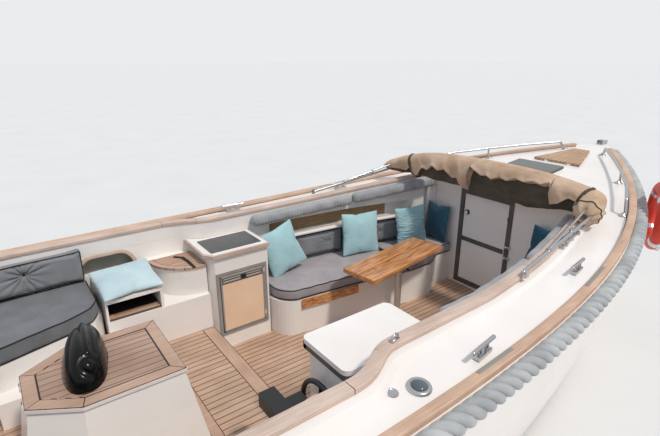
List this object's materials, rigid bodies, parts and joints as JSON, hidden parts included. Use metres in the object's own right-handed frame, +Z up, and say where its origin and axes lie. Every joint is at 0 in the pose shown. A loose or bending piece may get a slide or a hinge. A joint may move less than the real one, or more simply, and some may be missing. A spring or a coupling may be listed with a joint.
{
  "type": "speedboat",
  "caption": "Open motor launch with teak-trimmed cockpit, cuddy, folded hood, rope fender, galley and dinette, floating at its waterline.",
  "frame": {"origin": "amidships on the centreline at the waterline", "axes": "+X forward to the stem, +Y to port, +Z up"},
  "size_m": [8.372, 3.145, 2.1281],
  "materials": {
    "white_gelcoat": "glossy moulded gelcoat",
    "teak": "bare teak with dark caulking",
    "fender_rope": "weathered rope",
    "grey_trim": "matt",
    "grey_fabric": "woven outdoor cloth",
    "teal_fabric": "woven cloth",
    "canvas": "coated canvas",
    "stainless": "polished stainless steel",
    "fridge_panel": "satin",
    "dark_worktop": "glossy",
    "engine_paint": "satin",
    "black_plastic": "glossy",
    "varnished_wood": "varnished",
    "grey_alloy": "anodised",
    "smoked_acrylic": "glossy",
    "buoy_orange": "matt",
    "bronze": "cast",
    "blue_antifoul": "matt"
  },
  "bodies": {
    "boat": {"hull": "white_gelcoat", "hull_side_port": "white_gelcoat", "hull_side_starboard": "white_gelcoat", "keel_skeg": "white_gelcoat", "sole_bed": "white_gelcoat", "cockpit_lining": "white_gelcoat", "cockpit_lining_upper": "white_gelcoat", "deck": "white_gelcoat", "coaming_cap": "teak", "toe_rail": "teak", "rope_fender": "fender_rope", "cockpit_sole": "teak", "bulkhead": "white_gelcoat", "door_frame": "grey_trim", "galley_module": "white_gelcoat", "fridge_frame": "stainless", "galley_worktop": "teak", "worktop_rim": "white_gelcoat", "worktop_hob": "dark_worktop", "boarding_steps_port": "white_gelcoat", "boarding_step_starboard": "white_gelcoat", "step_treads": "teak", "aft_seat_base": "white_gelcoat", "aft_seat_cushions": "grey_fabric", "aft_back_cushions": "grey_fabric", "engine_box": "white_gelcoat", "engine_block": "engine_paint", "helm_console": "white_gelcoat", "throttle_plate": "stainless", "helm_seat": "black_plastic", "dinette_base": "white_gelcoat", "starboard_seat_base": "white_gelcoat", "seat_cushions": "grey_fabric", "seat_back_pads": "grey_fabric", "coaming_bolsters": "grey_fabric", "berth_board": "varnished_wood", "table_top": "varnished_wood", "table_post": "grey_alloy", "scatter_cushions": "teal_fabric", "hood_pivots": "stainless", "skylight_rim": "stainless", "bow_rails": "stainless", "cleats": "stainless", "deck_caps": "stainless", "bow_roller": "stainless", "lifebuoy": "buoy_orange"},
    "cuddy_door": {"cuddy_door": "white_gelcoat"},
    "fridge_door": {"fridge_door": "fridge_panel"},
    "engine_lid": {"engine_box_lid": "teak", "engine_air_cowl": "black_plastic"},
    "console_lid": {"console_lid": "white_gelcoat", "console_lid_frame": "grey_trim"},
    "steering_wheel": {"steering_wheel": "black_plastic"},
    "throttle_lever": {"throttle_lever": "black_plastic"},
    "hood": {"hood_bow": "stainless", "hood_canvas": "canvas"},
    "skylight": {"skylight_hatch": "smoked_acrylic"},
    "anchor_hatch": {"anchor_hatch": "teak"},
    "propeller": {"propeller": "bronze"},
    "rudder": {"rudder": "blue_antifoul"}
  },
  "joints": [
    {"name": "cuddy_door_swing", "type": "hinge", "parent": "boat", "child": "cuddy_door", "pos_m": [2.158, -0.158, 0.62], "axis": [0, 0, 1], "range_deg": [0, 100]},
    {"name": "fridge_door_swing", "type": "hinge", "parent": "boat", "child": "fridge_door", "pos_m": [0.092, 0.676, 0.495], "axis": [0, 0, 1], "range_deg": [0, 90]},
    {"name": "engine_lid_lift", "type": "hinge", "parent": "boat", "child": "engine_lid", "pos_m": [-1.611, 0, 0.763], "axis": [0, -1, 0], "range_deg": [0, 70]},
    {"name": "console_lid_lift", "type": "hinge", "parent": "boat", "child": "console_lid", "pos_m": [-0.0675, -0.985, 0.912], "axis": [1, 0, 0], "range_deg": [0, 80]},
    {"name": "steering_turn", "type": "hinge", "parent": "boat", "child": "steering_wheel", "pos_m": [-0.412, -0.83, 0.63], "axis": [1, 0, 0], "range_deg": [-540, 540]},
    {"name": "throttle_move", "type": "hinge", "parent": "boat", "child": "throttle_lever", "pos_m": [-0.61, -1.006, 0.64], "axis": [0, 1, 0], "range_deg": [-60, 60]},
    {"name": "hood_fold", "type": "hinge", "parent": "boat", "child": "hood", "pos_m": [0.88, 0, 1.135], "axis": [0, -1, 0], "range_deg": [0, 85]},
    {"name": "skylight_lift", "type": "hinge", "parent": "boat", "child": "skylight", "pos_m": [2.8658, 0, 1.325], "axis": [0, 1, 0], "range_deg": [0, 70]},
    {"name": "anchor_hatch_lift", "type": "hinge", "parent": "boat", "child": "anchor_hatch", "pos_m": [3.155, 0, 1.3071], "axis": [0, -1, 0], "range_deg": [0, 80]},
    {"name": "propeller_spin", "type": "hinge", "parent": "boat", "child": "propeller", "pos_m": [-3.48, 0, -0.4], "axis": [1, 0, 0], "continuous": true},
    {"name": "rudder_turn", "type": "hinge", "parent": "boat", "child": "rudder", "pos_m": [-3.72, 0, -0.3], "axis": [0, 0, 1], "range_deg": [-35, 35]}
  ],
  "couplings": [
    {"joint": "rudder_turn", "follows": "steering_turn", "ratio": 0.064815}
  ]
}
